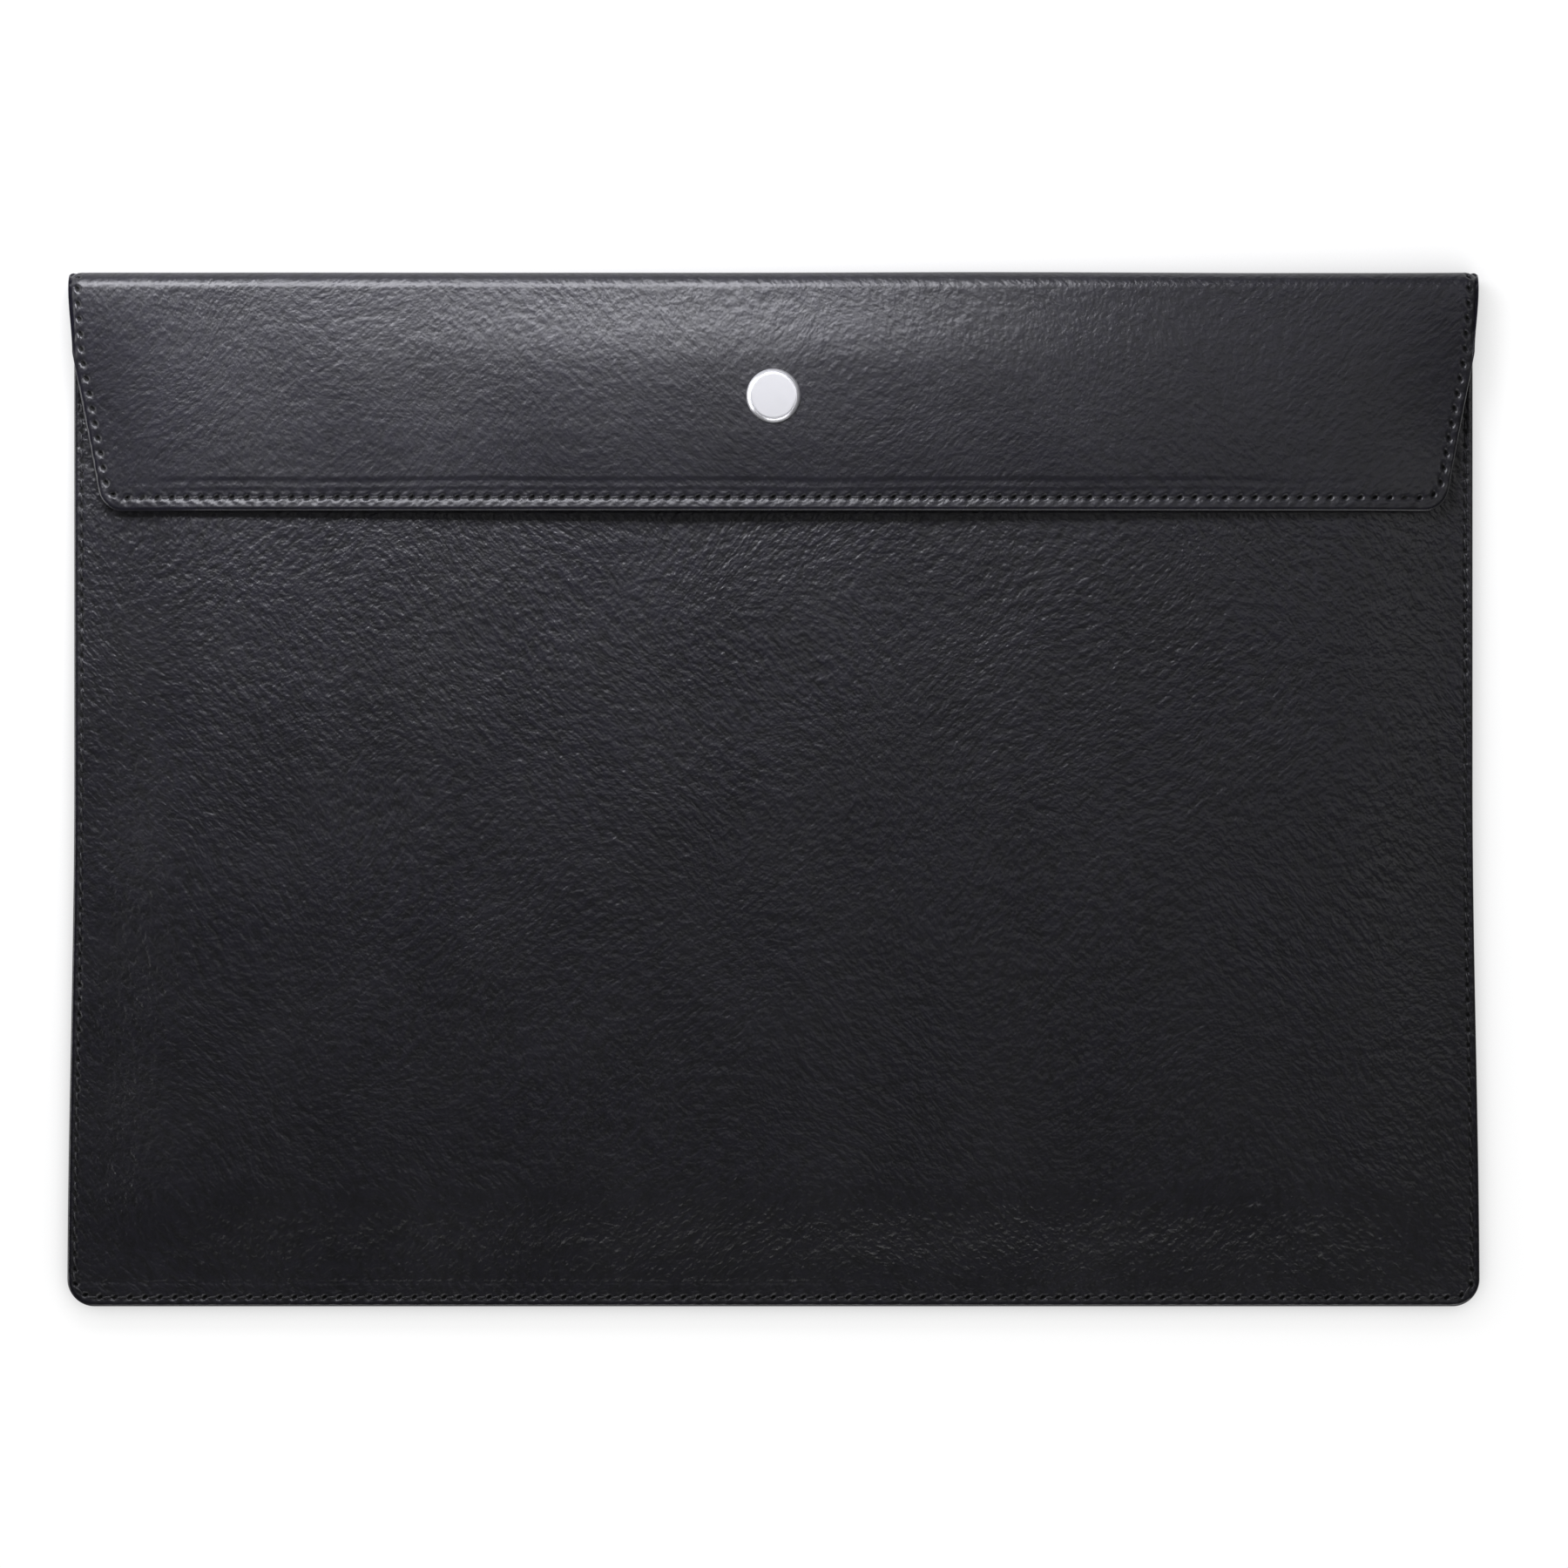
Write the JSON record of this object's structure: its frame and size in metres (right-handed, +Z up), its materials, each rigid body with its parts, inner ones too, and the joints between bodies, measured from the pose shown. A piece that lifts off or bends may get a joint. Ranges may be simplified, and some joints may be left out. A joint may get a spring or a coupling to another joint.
{
  "type": "document folder",
  "caption": "Envelope-type A4 document folder in lined leather, with a full-width flap that folds over the mouth and closes with a press snap.",
  "frame": {"origin": "on the surface that the folder lies on, at the centre of its footprint", "axes": "+X across the folder, +Y from the bottom seam to the fold that the flap hangs on, +Z up through the front"},
  "size_m": [0.3348, 0.245, 0.0131],
  "materials": {
    "leather": "semi-matt, smooth natural grain",
    "board": "raw grey fibreboard",
    "filler": "thin bonded felt",
    "lining": "fine matt cloth",
    "nickel": "satin nickel plate",
    "spring_steel": "drawn wire"
  },
  "bodies": {
    "folder": {"back_panel": "leather", "back_board": "board", "back_lining": "lining", "front_panel": "leather", "front_lining": "lining", "snap_stud": "nickel", "snap_post": "nickel"},
    "fold": {"fold_leather": "leather", "fold_lining": "lining"},
    "flap": {"flap_panel": "leather", "flap_filler": "filler", "flap_lining": "lining", "snap_cap": "nickel", "snap_cap_post": "nickel", "snap_socket": "nickel", "snap_spring": "spring_steel"}
  },
  "joints": [
    {"name": "fold_hinge", "type": "hinge", "parent": "folder", "child": "fold", "pos_m": [0, 0.12133, 0.00117], "axis": [-1, 0, 0], "range_deg": [0, 86]},
    {"name": "flap_hinge", "type": "hinge", "parent": "fold", "child": "flap", "pos_m": [0, 0.12133, 0.00853], "axis": [-1, 0, 0], "range_deg": [0, 86], "deforming": ["snap_spring"]}
  ],
  "couplings": [
    {"joint": "flap_hinge", "follows": "fold_hinge", "ratio": 1}
  ]
}
